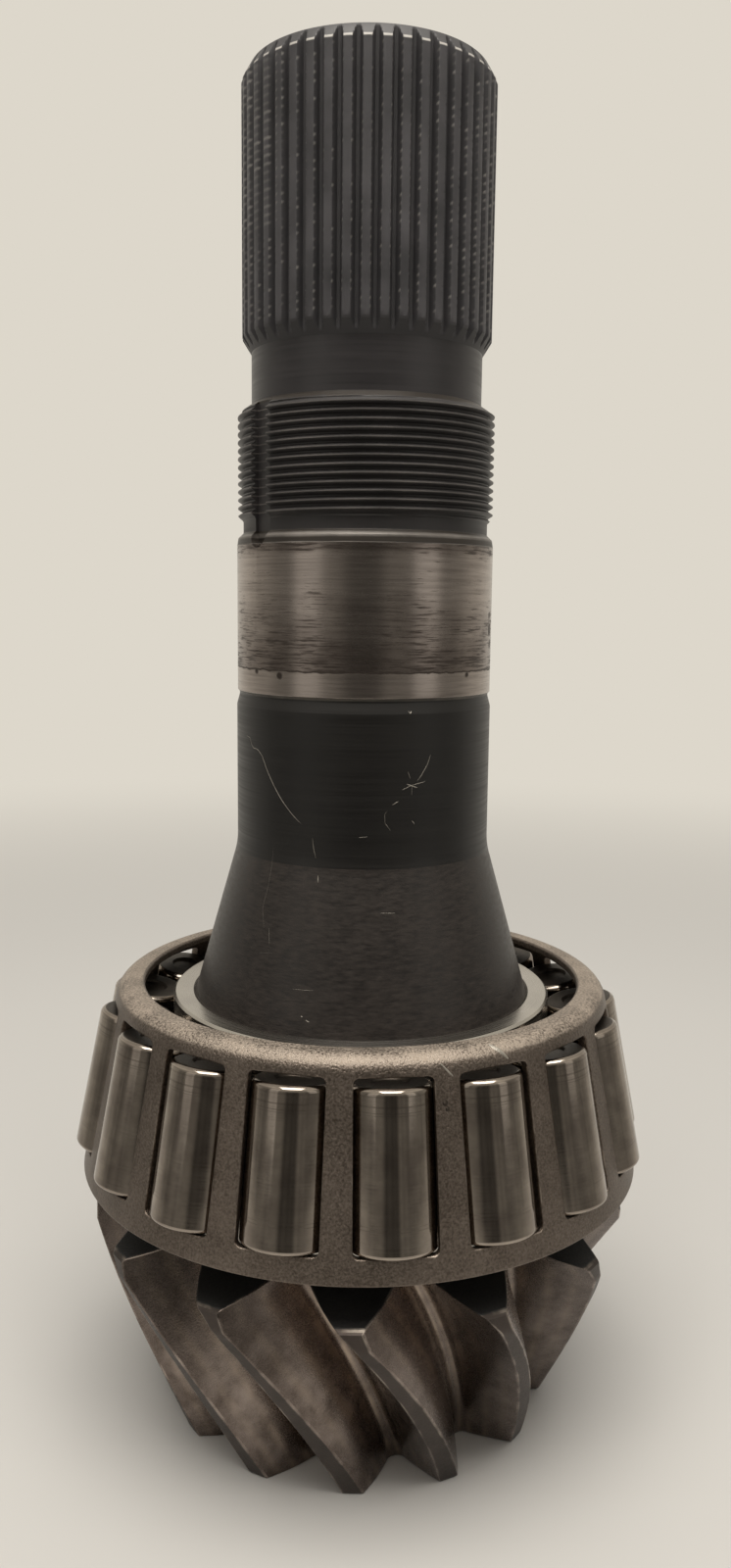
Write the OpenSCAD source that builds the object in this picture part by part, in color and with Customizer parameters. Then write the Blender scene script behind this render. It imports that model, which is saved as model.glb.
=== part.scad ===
// Spiral bevel pinion on its stepped shaft, with the inner half of the tapered roller
// bearing that is pressed on behind the teeth: inner ring, window cage and rollers.
// Millimetres, +Z up. The origin is on the axis, in the plane of the toe ends of the teeth,
// on which the pinion stands.

/* [Teeth] */
// Number of teeth
tooth_count = 13; // [11:1:16]
// Diameter over the teeth at the toe, the small end
toe_tip_d = 101.4; // [96:0.2:106]
// Diameter over the teeth at the heel, the large end
heel_tip_d = 141.6; // [136:0.2:148]
// Diameter at the bottom of the gaps at the toe
toe_root_d = 76.4; // [72:0.2:80]
// Diameter at the bottom of the gaps at the heel
heel_root_d = 109; // [107:0.2:112]
// Height of the conical face over the teeth
face_h = 50; // [42:0.5:58]
// Height of the plain band round the heel corner
heel_band_h = 4.2; // [2:0.1:7]
// Width of the bevel between that band and the heel face
heel_bevel = 0.9; // [0.3:0.1:2]
// Slope of the heel face, degrees from level
heel_face_angle = 20; // [12:0.5:28]
// Turn of a tooth from heel to toe, degrees
tooth_twist = 28.3; // [10:0.1:36]
// Bow of the tooth line at half its length, degrees
tooth_bow = 0.9; // [0:0.1:3]
// Turn of the whole ring of teeth, degrees
tooth_phase = -1.3; // [-14:0.1:14]
// Width of a gap at its bottom
gap_root_w = 3; // [2:0.1:4.4]
// Slope of a gap's sides at the bottom, degrees
gap_side_angle = 28.5; // [22:0.5:34]
// Radius of the curve of a tooth's side
flank_r = 45; // [35:1:80]
// Height of the rounding at the bottom of a gap
root_round = 2; // [1:0.1:3]

/* [Head bearing] */
// Bore of the inner ring, and the seat that it is pressed on
bearing_bore_d = 88; // [84:0.2:92]
// Width of the inner ring
bearing_w = 49.2; // [46:0.1:54]
// Wall of the inner ring at the small end of its raceway
race_wall = 5.2; // [4:0.1:7]
// Slope of the raceway, degrees from the axis
race_angle = 8.3; // [7:0.1:10]
// Height of the small rib over the raceway
small_rib_h = 0.6; // [0.3:0.1:1.5]
// Width of the small rib
small_rib_w = 5.3; // [4:0.1:7]
// Height of the large rib over the raceway
large_rib_h = 3.6; // [2:0.1:5]
// Break of the ring's edges
ring_edge = 0.6; // [0.2:0.1:1]
// Number of rollers
roller_count = 17; // [14:1:20]
// Gap between neighbouring rollers at their small ends
roller_gap = 2.6; // [1.6:0.1:3.4]
// Length of a roller
roller_l = 36.5; // [32:0.1:38]
// Rounding of a roller's edges
roller_edge = 1.1; // [0.4:0.1:2]
// Diameter of the hollow in a roller's ends
roller_dimple_d = 9; // [5:0.5:12]
// Depth of that hollow
roller_dimple_h = 0.6; // [0.3:0.1:1]
// Running clearance between the rollers, the raceway and the cage
run_clear = 0.3; // [0.2:0.05:0.5]
// Turn of the cage and rollers, degrees
bearing_phase = 6.8; // [-10:0.1:10]

/* [Bearing cage] */
// Depth of the cage's outer face under the roller tops
cage_drop = 3.2; // [2.6:0.1:3.6]
// Thickness of the pressed sheet
cage_wall = 2.4; // [1.8:0.1:2.6]
// Diameter of the opening in the turned-in flange
cage_lip_d = 114.3; // [108:0.2:118]
// Radius of the bend into the flange, on the outside
cage_bend_r = 4.6; // [3:0.1:5]
// Rounding of the flange's upper edge
cage_lip_round = 0.9; // [0.3:0.1:1.4]
// Height of the cage above its windows
cage_crown_h = 4.6; // [4:0.1:8]
// Height of the plain rim under the windows
cage_rim_h = 6; // [4:0.1:7.5]
// Room over a roller's small end in its window
window_top_gap = 1.8; // [0.6:0.1:2.4]
// Radius of a window's corners
window_corner_r = 1.3; // [0.6:0.1:2.4]

/* [Shaft] */
// Diameter of the hub between the teeth and the bearing
hub_d = 105; // [98:0.5:107]
// Height of that hub over the heel face
hub_h = 1.4; // [0.6:0.1:4]
// Height of the cone over the bearing seat
cone_h = 39.9; // [34:0.1:46]
// Diameter of the dark plain length over the cone
journal_d = 65.4; // [62:0.1:70]
// Height of that length
journal_h = 36.2; // [28:0.1:44]
// Radius that blends the cone into it
cone_blend_r = 20; // [5:1:40]
// Diameter of the relief under the tail bearing seat
relief_d = 64; // [61:0.1:65]
// Height of that relief
relief_h = 3.7; // [2.5:0.1:5]
// Height of the groove at the relief's upper end
relief_groove_h = 1.1; // [0.8:0.1:2]
// Diameter of the tail bearing seat
tail_seat_d = 65; // [64.6:0.1:68]
// Height of the tail bearing seat
tail_seat_h = 36; // [28:0.1:44]
// Break of the seat's lower edge
seat_edge = 0.5; // [0.2:0.1:0.7]
// Height of the lead over the seat
seat_lead_h = 3.1; // [2.4:0.1:4]
// Height of the lead's gentle part
lead_gentle_h = 1.9; // [1:0.1:2.2]
// Drop of that part below the seat
lead_gentle_drop = 0.3; // [0.1:0.1:0.8]
// Diameter of the undercut between seat and thread
undercut_d = 61.8; // [59:0.1:63.4]
// Height of the undercut
undercut_h = 2.9; // [2:0.1:5]
// Outside diameter of the nut thread
thread_d = 64.5; // [63.8:0.1:68]
// Length of the nut thread
thread_l = 26; // [20:0.1:32]
// Height of the bevel over the thread
thread_bevel_h = 2.4; // [1.2:0.1:4]
// Width of the lock slot along the thread
slot_w = 6.5; // [4:0.1:8]
// Depth of the lock slot under the outside of the thread
slot_depth = 2.3; // [1.5:0.1:3]
// Length by which the slot runs into the seat
slot_overrun = 1; // [0.5:0.1:3]
// Place of the slot round the shaft, degrees from the front
slot_turn = -53; // [-90:0.5:90]
// Diameter of the neck between thread and spline
neck_d = 57.5; // [54:0.1:58.4]
// Height of the neck
neck_h = 12.4; // [8:0.1:18]

/* [Spline] */
// Number of spline teeth
spline_count = 44; // [36:1:50]
// Outside diameter of the spline
spline_d = 62; // [61:0.1:64]
// Diameter at the bottom of the spline grooves
spline_root_d = 58.6; // [58.6:0.1:59.6]
// Length of the spline, tapers and bevel included
spline_l = 65.3; // [50:0.1:80]
// Height of the taper at the spline's lower end
spline_taper_h = 3.6; // [2:0.1:6]
// Height of the bevel at its upper end
spline_bevel_h = 3.2; // [1.5:0.1:4]
// Diameter of the end face inside that bevel
spline_end_d = 58.2; // [56:0.1:58.4]
// Share of the pitch that a spline tooth takes at its top
spline_land = 0.46; // [0.35:0.01:0.55]
// Slope of a spline tooth's sides, degrees
spline_side_angle = 22; // [15:1:30]
// Turn of the spline, degrees
spline_turn = -0.7; // [-4:0.1:4]

/* [Centre holes] */
// Diameter of the drilled hole in each end
centre_hole_d = 8; // [5:0.5:12]
// Depth of the drilled hole
centre_hole_h = 18; // [14:0.5:30]
// Diameter of the conical seat round it
centre_seat_d = 18; // [14:0.5:24]
// Slope of that seat and of the hole's floor, degrees
centre_angle = 30; // [25:1:45]

/* [Hidden] */
$fn = 96;
// Overlap that lets a cut pass clean through a face
cut = 1;
// Steps along a tooth gap, up each of its sides, round a bend of the cage and round an edge
gap_steps = 9;
side_steps = 3;
bend_steps = 6;
edge_steps = 4;
// Most of a tooth pitch that a gap may take, and of a spline pitch that half a tooth's foot may take
gap_share = 0.99;
spline_foot_share = 0.46;
// Knee in the rounding at the bottom of a gap, as shares of its height and half width
knee_h = 0.3;
knee_w = 0.72;

roller_names = [for (i = [1:roller_count]) str("roller_", i < 10 ? "0" : "", i)];

// Heights up the shaft
heel_band_z = face_h;
heel_bevel_z = heel_band_z + heel_band_h;
heel_face_z = heel_bevel_z + heel_bevel;
heel_face_r = heel_tip_d / 2 - heel_bevel;
heel_root_z = heel_face_z + (heel_face_r - heel_root_d / 2) * tan(heel_face_angle);
shoulder_z = heel_face_z + (heel_face_r - hub_d / 2) * tan(heel_face_angle) + hub_h;
bearing_top_z = shoulder_z + bearing_w;
cone_z = bearing_top_z - ring_edge;
journal_z = cone_z + cone_h;
relief_z = journal_z + journal_h;
tail_seat_z = relief_z + relief_h;
seat_lead_z = tail_seat_z + tail_seat_h;
undercut_z = seat_lead_z + seat_lead_h;
thread_z = undercut_z + undercut_h;
thread_bevel_z = thread_z + thread_l;
neck_z = thread_bevel_z + thread_bevel_h;
spline_z = neck_z + neck_h;
shaft_top_z = spline_z + spline_l;

// Bearing cone: raceway, rollers and cage all point at one apex on the axis.
// The roller line lies one running clearance over the raceway.
roller_small_z = bearing_top_z - small_rib_w - run_clear;
race_small_r = bearing_bore_d / 2 + race_wall;
roller_line_r = race_small_r + run_clear / cos(race_angle);
half_pitch = 180 / roller_count;
roller_small_r = (roller_line_r * sin(half_pitch) - roller_gap / 2)
    / (1 - cos(race_angle) * sin(half_pitch));
apex_slant = roller_line_r / sin(race_angle);
apex_z = roller_small_z + apex_slant * cos(race_angle);
roller_half_angle = asin(roller_small_r / apex_slant);
roller_tilt = race_angle + roller_half_angle;
envelope_angle = roller_tilt + roller_half_angle;
roller_small_axis = apex_slant * cos(roller_half_angle);
roller_large_axis = roller_small_axis + roller_l;
roller_large_r = roller_large_axis * tan(roller_half_angle);

function unit(v) = v / norm(v);

// A point on the rollers' axis plane: distance from the apex along the roller axis,
// then distance outwards from that axis. Gives radius and height.
function on_roller(along, out) = [
    along * sin(roller_tilt) + out * cos(roller_tilt),
    apex_z - along * cos(roller_tilt) + out * sin(roller_tilt)
];

// The outer face of the cage at a height
function cage_r(z) = (apex_z - z) * tan(envelope_angle) - cage_drop;

// Points of an arc that rounds the corner b between a and c
function round_corner(a, b, c, r, steps = edge_steps) =
    let (
        u = unit(a - b),
        v = unit(c - b),
        half = acos(u * v) / 2,
        start = b + u * r / tan(half),
        centre = b + unit(u + v) * r / sin(half),
        arm = start - centre,
        turn = (180 - 2 * half) * sign(u.y * v.x - u.x * v.y)
    )
    [for (i = [0:steps])
        let (t = turn * i / steps)
        centre + [arm.x * cos(t) - arm.y * sin(t), arm.x * sin(t) + arm.y * cos(t)]];

// Teeth

// Height of the bottom of the gap, as a radius at a height
function gap_root_r(z) = (toe_root_d + (heel_root_d - toe_root_d) * z / heel_root_z) / 2;

// Depth of the gap, from its bottom out to the face cone, along the slope of the heel face
function gap_depth(z) =
    let (slope = (heel_tip_d - toe_tip_d) / 2 / face_h)
    (toe_tip_d / 2 + slope * z - gap_root_r(z))
    / (cos(heel_face_angle) + slope * sin(heel_face_angle));

// Turn of a tooth where its top is at height z: a straight twist with a bow
function tooth_turn(z) =
    let (t = z / heel_bevel_z)
    tooth_phase + tooth_twist * (1 - t) + 4 * tooth_bow * t * (1 - t);

// Half the width of a gap at a distance from its bottom
function gap_half_w(q) = gap_root_w / 2 + q * tan(gap_side_angle) + q * q / (2 * flank_r);

// A point of the gap's section at height z: side is -1 or 1, or 0 for the bottom
function gap_point(z, q, half_w, side) =
    let (
        r = gap_root_r(z) + q * cos(heel_face_angle),
        middle = tooth_turn(z - gap_depth(z) * sin(heel_face_angle)) + 180 / tooth_count,
        half = min(half_w / r * 180 / PI, gap_share * 180 / tooth_count),
        a = middle - 90 + side * half
    )
    [r * cos(a), r * sin(a), z - q * sin(heel_face_angle)];

// One side of the section, from the outside in: past the tip, up the flank, round the bottom
function gap_side(z, side) =
    let (
        tip = gap_depth(z) + cut,
        past = tip + cut + heel_tip_d / 2 * (1 - cos(180 / tooth_count)),
        round_w = gap_half_w(root_round)
    )
    concat(
        [gap_point(z, past, gap_half_w(past), side)],
        [for (i = [side_steps:-1:0])
            let (q = root_round + (tip - root_round) * i / side_steps)
            gap_point(z, q, gap_half_w(q), side)],
        [gap_point(z, knee_h * root_round, knee_w * round_w, side)]
    );

function reverse(list) = [for (i = [len(list) - 1:-1:0]) list[i]];

function gap_section(z) = concat(
    gap_side(z, -1),
    [gap_point(z, 0, 0, 0)],
    reverse(gap_side(z, 1))
);

// Space between two teeth, swept from below the toe to past the heel face
module tooth_gap() {
    run = heel_root_z + 2 * gap_depth(0) * sin(heel_face_angle);
    low = -gap_depth(0) * sin(heel_face_angle);
    sections = [for (i = [0:gap_steps]) gap_section(low + run * i / gap_steps)];
    m = len(sections[0]);
    mid = (m - 1) / 2;
    last = gap_steps * m;
    ends = concat(
        [for (j = [0:mid - 2]) each [[j, j + 1, m - 2 - j], [j, m - 2 - j, m - 1 - j]]],
        [[mid - 1, mid, mid + 1]]
    );
    sides = [for (i = [0:gap_steps - 1], j = [0:m - 1])
        let (k = (j + 1) % m, a = i * m, b = a + m)
        each [[a + j, b + k, b + j], [a + j, a + k, b + k]]];
    polyhedron(
        points = [for (s = sections) each s],
        faces = concat(
            [for (f = ends) reverse(f)],
            [for (f = ends) [last + f[0], last + f[1], last + f[2]]],
            sides
        )
    );
}

// Shaft

// Half section of the shaft and the uncut gear head, from the toe up to the neck
function shaft_profile() =
    let (
        cone_foot = [bearing_bore_d / 2, cone_z],
        cone_head = [journal_d / 2, journal_z],
        journal_top = [journal_d / 2, relief_z]
    )
    concat(
        [
            [0, 0],
            [toe_tip_d / 2, 0],
            [heel_tip_d / 2, heel_band_z],
            [heel_tip_d / 2, heel_bevel_z],
            [heel_face_r, heel_face_z],
            [hub_d / 2, shoulder_z - hub_h],
            [hub_d / 2, shoulder_z],
            [bearing_bore_d / 2, shoulder_z],
            cone_foot
        ],
        round_corner(cone_foot, cone_head, journal_top, cone_blend_r),
        [
            journal_top,
            [relief_d / 2, tail_seat_z - relief_groove_h],
            [relief_d / 2, tail_seat_z - seat_edge],
            [tail_seat_d / 2, tail_seat_z],
            [tail_seat_d / 2, seat_lead_z],
            [tail_seat_d / 2 - lead_gentle_drop, seat_lead_z + lead_gentle_h],
            [undercut_d / 2, undercut_z],
            [undercut_d / 2, thread_z],
            [thread_d / 2, thread_z + (thread_d - undercut_d) / 2],
            [thread_d / 2, thread_bevel_z],
            [neck_d / 2, neck_z],
            [neck_d / 2, spline_z],
            [0, spline_z]
        ]
    );

// Outline of the spline: one tooth with straight sloping sides, repeated round the circle
function spline_outline() =
    let (
        pitch = 360 / spline_count,
        land = pitch * spline_land / 2,
        depth = (spline_d - spline_root_d) / 2,
        slope = depth * tan(spline_side_angle) / (spline_root_d / 2) * 180 / PI,
        root = min(land + slope, pitch * spline_foot_share)
    )
    [for (i = [0:spline_count - 1], c = [[-root, 0], [-land, 1], [land, 1], [root, 0]])
        let (a = i * pitch + spline_turn + c[0], r = c[1] * spline_d / 2 + (1 - c[1]) * spline_root_d / 2)
        r * [cos(a), sin(a)]];

module spline() {
    bevel_w = (spline_d - spline_end_d) / 2;
    intersection() {
        translate([0, 0, spline_z]) linear_extrude(spline_l) polygon(spline_outline());
        rotate_extrude() polygon([
            [0, spline_z],
            [neck_d / 2, spline_z],
            [spline_d / 2 + cut, spline_z + spline_taper_h * (1 + cut / ((spline_d - neck_d) / 2))],
            [spline_d / 2 + cut, shaft_top_z - spline_bevel_h * (1 + cut / bevel_w)],
            [spline_end_d / 2, shaft_top_z],
            [0, shaft_top_z]
        ]);
    }
}

// Drilled hole with a conical seat, opening upwards at z = 0
module centre_hole() {
    seat_h = (centre_seat_d - centre_hole_d) / 2 / tan(centre_angle);
    rotate_extrude() polygon([
        [0, cut],
        [centre_seat_d / 2 + cut * tan(centre_angle), cut],
        [centre_hole_d / 2, -seat_h],
        [centre_hole_d / 2, -centre_hole_h],
        [0, -centre_hole_h - centre_hole_d / 2 * tan(centre_angle)]
    ]);
}

// Slot for the lock washer's tongue, flat at the bottom and round at its lower end
module lock_slot() {
    floor_r = thread_d / 2 - slot_depth;
    reach = tail_seat_d / 2 - floor_r + cut;
    round_z = seat_lead_z - slot_overrun + slot_w / 2;
    rotate([0, 0, slot_turn - 90]) {
        translate([floor_r, -slot_w / 2, round_z]) cube([reach, slot_w, neck_z + cut - round_z]);
        translate([floor_r, 0, round_z]) rotate([0, 90, 0]) cylinder(d = slot_w, h = reach);
    }
}

module pinion_shaft() {
    color("#4a443f") difference() {
        union() {
            rotate_extrude() polygon(shaft_profile());
            spline();
        }
        for (i = [0:tooth_count - 1]) rotate([0, 0, i * 360 / tooth_count]) tooth_gap();
        lock_slot();
        translate([0, 0, shaft_top_z]) centre_hole();
        mirror([0, 0, 1]) centre_hole();
    }
}

// Head bearing

// Ring with a conical raceway between a small and a large rib
module bearing_inner_ring() {
    bore_r = bearing_bore_d / 2;
    small_rib_r = race_small_r + small_rib_h;
    race_large = on_roller(roller_large_axis + run_clear, -roller_large_r - run_clear);
    rib_top = race_large + large_rib_h * [cos(roller_tilt), sin(roller_tilt)];
    color("#8a8983") rotate_extrude() polygon([
        [bore_r, shoulder_z],
        [rib_top.x - ring_edge, shoulder_z],
        [rib_top.x, shoulder_z + ring_edge],
        rib_top,
        race_large,
        [race_small_r, roller_small_z],
        [small_rib_r, roller_small_z + run_clear],
        [small_rib_r, bearing_top_z - ring_edge],
        [small_rib_r - ring_edge, bearing_top_z],
        [bore_r + ring_edge, bearing_top_z],
        [bore_r, bearing_top_z - ring_edge]
    ]);
}

// Trapezium with rounded corners in the plane of the cage's wall, cut square through it.
// Its sides clear the roller where the roller passes the inner face of the sheet.
module cage_window() {
    wall = cage_drop * cos(envelope_angle) + cage_wall;
    function half_w(r) = sqrt(r * r - (r - wall) * (r - wall)) + run_clear;
    top = roller_small_axis - window_top_gap;
    foot = roller_large_axis + run_clear;
    corners = [
        [-half_w(roller_large_r), -foot],
        [half_w(roller_large_r), -foot],
        [half_w(roller_small_r), -top],
        [-half_w(roller_small_r), -top]
    ];
    outline = [for (i = [0:3])
        each round_corner(corners[(i + 3) % 4], corners[i], corners[(i + 1) % 4], window_corner_r)];
    translate([0, 0, apex_z]) rotate([0, -roller_tilt, 0])
        rotate([90, 0, 90]) linear_extrude(2 * roller_large_r) polygon(outline);
}

// Pressed cone of sheet with a turned-in flange at the top and a window for each roller
module bearing_cage() {
    foot_z = on_roller(roller_large_axis + run_clear, roller_large_r - cage_drop).y - cage_rim_h;
    top_z = on_roller(roller_small_axis - window_top_gap, roller_small_r - cage_drop).y + cage_crown_h;
    lip_r = cage_lip_d / 2;
    slant_wall = cage_wall / cos(envelope_angle);
    outer_foot = [cage_r(foot_z), foot_z];
    outer_top = [cage_r(top_z), top_z];
    lip_top = [lip_r, top_z];
    lip_under = [lip_r, top_z - cage_wall];
    inner_top = [cage_r(top_z - cage_wall) - slant_wall, top_z - cage_wall];
    inner_foot = [cage_r(foot_z) - slant_wall, foot_z];
    color("#5a524b") difference() {
        rotate_extrude() polygon(concat(
            [inner_foot, outer_foot],
            round_corner(outer_foot, outer_top, lip_top, cage_bend_r, bend_steps),
            round_corner(outer_top, lip_top, lip_under, cage_lip_round),
            [lip_under],
            round_corner(lip_under, inner_top, inner_foot, cage_bend_r - cage_wall, bend_steps)
        ));
        for (i = [1:roller_count])
            rotate([0, 0, bearing_phase - 90 + i * 360 / roller_count]) cage_window();
    }
}

// Tapered roller in its place in the ring: rounded edges, and a hollow in each end
module roller(i) {
    small_r = roller_small_r;
    large_r = roller_large_r;
    taper = tan(roller_half_angle);
    dimple_r = roller_dimple_d / 2;
    large_foot = [large_r, 0];
    large_edge = [large_r - roller_l * taper / 2, roller_l / 2];
    small_foot = [small_r, roller_l];
    outline = concat(
        [[0, roller_dimple_h], [dimple_r - roller_dimple_h, roller_dimple_h], [dimple_r, 0]],
        round_corner([dimple_r, 0], large_foot, large_edge, roller_edge),
        round_corner(large_edge, small_foot, [dimple_r, roller_l], roller_edge),
        [[dimple_r, roller_l], [dimple_r - roller_dimple_h, roller_l - roller_dimple_h]],
        [[0, roller_l - roller_dimple_h]]
    );
    place = on_roller(roller_large_axis, 0);
    color("#7d7670") rotate([0, 0, bearing_phase - 90 + i * 360 / roller_count])
        translate([place.x, 0, place.y]) rotate([0, -roller_tilt, 0])
            rotate_extrude() polygon(outline);
}

pinion_shaft();
bearing_inner_ring();
bearing_cage();
for (i = [1:roller_count]) roller(i);
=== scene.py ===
# %% [markdown]
# # A spiral bevel pinion with the inner half of its head bearing
#
# The object is the small gear of a heavy axle. Gear head and shaft are one forging: thirteen curved
# teeth, a cone, a ground bearing seat, a nut thread and a spline. Behind the teeth sits a tapered roller
# bearing without its outer ring. The lesson loads the solid model as a fixed frame, lays a finer surface
# over each solid with numpy, gives each surface its finish, and sets up light and camera.

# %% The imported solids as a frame
import math
from functools import partial

import bmesh
import bpy
import numpy as np
from mathutils import Matrix


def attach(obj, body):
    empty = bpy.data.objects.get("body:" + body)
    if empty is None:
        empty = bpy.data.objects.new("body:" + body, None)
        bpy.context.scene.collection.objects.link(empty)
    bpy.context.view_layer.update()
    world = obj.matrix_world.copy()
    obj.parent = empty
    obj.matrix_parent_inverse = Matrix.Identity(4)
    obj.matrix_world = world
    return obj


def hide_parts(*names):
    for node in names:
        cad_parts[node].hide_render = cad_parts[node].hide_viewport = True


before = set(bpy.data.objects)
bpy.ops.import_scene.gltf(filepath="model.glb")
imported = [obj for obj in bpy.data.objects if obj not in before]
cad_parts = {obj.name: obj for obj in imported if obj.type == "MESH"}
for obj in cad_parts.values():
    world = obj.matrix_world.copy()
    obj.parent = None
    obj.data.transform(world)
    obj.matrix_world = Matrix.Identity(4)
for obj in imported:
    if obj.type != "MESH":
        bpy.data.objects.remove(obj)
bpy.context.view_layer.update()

# %% [markdown]
# ## Tools of the lesson
#
# Every piece is a grid of points worked out as whole arrays, in millimetres. A grid that goes round the
# shaft closes on itself, and points that fall on one spot, such as a pole on the axis, are merged. Blender
# could make such shapes with its spin and screw tools, but a formula is easier to read and to resize.

# %% Turning arrays into a mesh
MERGE_M = 2e-7
CREASE = math.radians(32)


def grid_quads(rows, columns, loop=False):
    """Corners of the four-sided faces of a grid that closes round its columns, and with loop round its rows.
    Rows that rise and columns that run counter-clockwise give faces that point away from the axis."""
    i, j = np.meshgrid(np.arange(rows if loop else rows - 1), np.arange(columns), indexing="ij")
    up = (i + 1) % rows
    on = (j + 1) % columns
    corners = [i * columns + j, i * columns + on, up * columns + on, up * columns + j]
    return np.stack(corners, -1).reshape(-1, 4)


def join(parts):
    """Joins parts, each of points and faces, into one list of points and one of faces."""
    points = [np.reshape(part, (-1, 3)) for part, _ in parts]
    first = np.cumsum([0] + [len(part) for part in points])
    quads = [np.reshape(faces, (-1, 4)) + start for (_, faces), start in zip(parts, first)]
    return np.vstack(points), np.vstack(quads)


def make_piece(name, points, quads, finishes, body, node, zone=None, marks=None):
    """Mesh from points in millimetres and faces: doubles merged, normals outwards, edges sharper than CREASE
    kept sharp. zone gives each face its finish, and marks gives each point its named numbers. Without a node
    the piece is an addition, such as a scratch, that stands for no solid."""
    mesh = bpy.data.meshes.new(name)
    mesh.from_pydata((np.reshape(points, (-1, 3)) / 1000).tolist(), [], quads.tolist())
    for finish in finishes:
        mesh.materials.append(finish)
    if zone is not None:
        mesh.polygons.foreach_set("material_index", np.ravel(zone).astype(np.int32))
    for mark, values in (marks or {}).items():
        layer = mesh.attributes.new(mark, "FLOAT", "POINT")
        layer.data.foreach_set("value", np.ravel(values).astype(np.float32))
    shell = bmesh.new()
    shell.from_mesh(mesh)
    bmesh.ops.remove_doubles(shell, verts=shell.verts, dist=MERGE_M)
    bmesh.ops.recalc_face_normals(shell, faces=shell.faces)
    shell.to_mesh(mesh)
    shell.free()
    mesh.polygons.foreach_set("use_smooth", np.ones(len(mesh.polygons), bool))
    mesh.set_sharp_from_angle(angle=CREASE)
    piece = bpy.data.objects.new(name, mesh)
    bpy.context.scene.collection.objects.link(piece)
    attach(piece, body)
    if node:
        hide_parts(node)
    edge_of_corner = np.zeros(len(mesh.loops), np.int32)
    mesh.loops.foreach_get("edge_index", edge_of_corner)
    open_edges = int((np.bincount(edge_of_corner, minlength=len(mesh.edges)) != 2).sum())
    print(f"{name}: {len(mesh.polygons)} faces, {open_edges} open edges")


# %% Points and profiles
CORNER_GUARD = 0.05


def spots(x, y, z):
    """Points from three coordinates, each carried to the shape of the others."""
    return np.stack(np.broadcast_arrays(x, y, z), -1)


def polar(r, a, z):
    """Points at a radius, an angle round the shaft's axis and a height: (r cos a, r sin a, z)."""
    return spots(r * np.cos(a), r * np.sin(a), z)


def lathe(profile, turns):
    """Surface of revolution: each profile point of radius and height goes round through the angles turns."""
    return polar(profile[:, :1], turns, profile[:, 1:])


def rounded(corners, steps=5):
    """Profile of radius and height through corners (r, z, rounding). A corner with a rounding becomes an arc
    tangent to both of its sides, with one guard point beside each end that keeps the sides flat in shade."""
    path = []
    for i, (r, z, rounding) in enumerate(corners):
        here = np.array([r, z], float)
        if not rounding:
            path.append(here)
            continue
        back = np.subtract(corners[i - 1][:2], here)
        on = np.subtract(corners[(i + 1) % len(corners)][:2], here)
        back = back / np.linalg.norm(back)
        on = on / np.linalg.norm(on)
        half = np.arccos(back @ on) / 2
        reach = rounding / np.tan(half)
        middle = here + (back + on) / np.linalg.norm(back + on) * rounding / np.sin(half)
        sweep = np.pi - 2 * half
        t = np.linspace(0, 1, steps + 1)[:, None] * sweep
        first = here + back * reach - middle
        last = here + on * reach - middle
        arc = middle + (np.sin(sweep - t) * first + np.sin(t) * last) / np.sin(sweep)
        path += [here + back * (reach + CORNER_GUARD), *arc, here + on * (reach + CORNER_GUARD)]
    return np.array(path)


print("edges sharper than", round(math.degrees(CREASE)), "degrees stay sharp")

# %% [markdown]
# ## Colours and nodes
#
# Colours are written as sRGB hex values, as a colour picker gives them, and Blender's shaders want linear
# light, so one function turns them. One more small function adds a node with its settings and its links,
# which keeps each finish short enough to read as a recipe. Patterns lie on Object coordinates in metres, so
# a noise of 1 mm has a scale of 1000.

# %% Colour and node helpers
MM = 0.001
PER_MM = 1 / MM
# A Mix node takes numbers at its inputs 2 and 3. Set so, it takes colours at 6 and 7, for its output 2.
COLOUR = {"data_type": "RGBA", "out": 2}


def linear(colour):
    """sRGB hex to linear light: c / 12.92 near black, otherwise ((c + 0.055) / 1.055) to the power 2.4."""
    c = np.array([int(colour[i:i + 2], 16) for i in (1, 3, 5)]) / 255
    light = np.where(c <= 0.04045, c / 12.92, ((c + 0.055) / 1.055) ** 2.4)
    return (*light.tolist(), 1.0)


def add_node(tree, kind, inputs=(), operation=None, out=0, **settings):
    """Adds a node and gives one of its outputs. Inputs are values or other nodes' outputs, by name or in the
    node's own order, such as value, from low, from high, to low, to high. Settings go on the node."""
    node = tree.nodes.new("ShaderNode" + kind)
    if operation:
        node.operation = operation
    for name, value in settings.items():
        setattr(node, name, value)
    for key, value in inputs.items() if isinstance(inputs, dict) else enumerate(inputs):
        if isinstance(value, bpy.types.NodeSocket):
            tree.links.new(value, node.inputs[key])
        else:
            node.inputs[key].default_value = value
    return node.outputs[out]


def start_finish(name, fixed):
    """New material: gives it, a function that adds nodes to it, its Principled shader and the place on the
    piece. Numbers that are the same all over go on the shader's own sockets."""
    material = bpy.data.materials.new(name)
    material.use_nodes = True
    add = partial(add_node, material.node_tree)
    shader = material.node_tree.nodes["Principled BSDF"]
    for socket, value in fixed.items():
        shader.inputs[socket].default_value = value
    return material, add, shader, add("TexCoord", out="Object")


def wire(shader, *patterns):
    """Links the patterns of colour, roughness and, where there is one, relief to a finish's shader."""
    for socket, pattern in zip(("Base Color", "Roughness", "Normal"), patterns):
        shader.id_data.links.new(pattern, shader.inputs[socket])


print("1 mm of pattern is a noise scale of", PER_MM)

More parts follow.
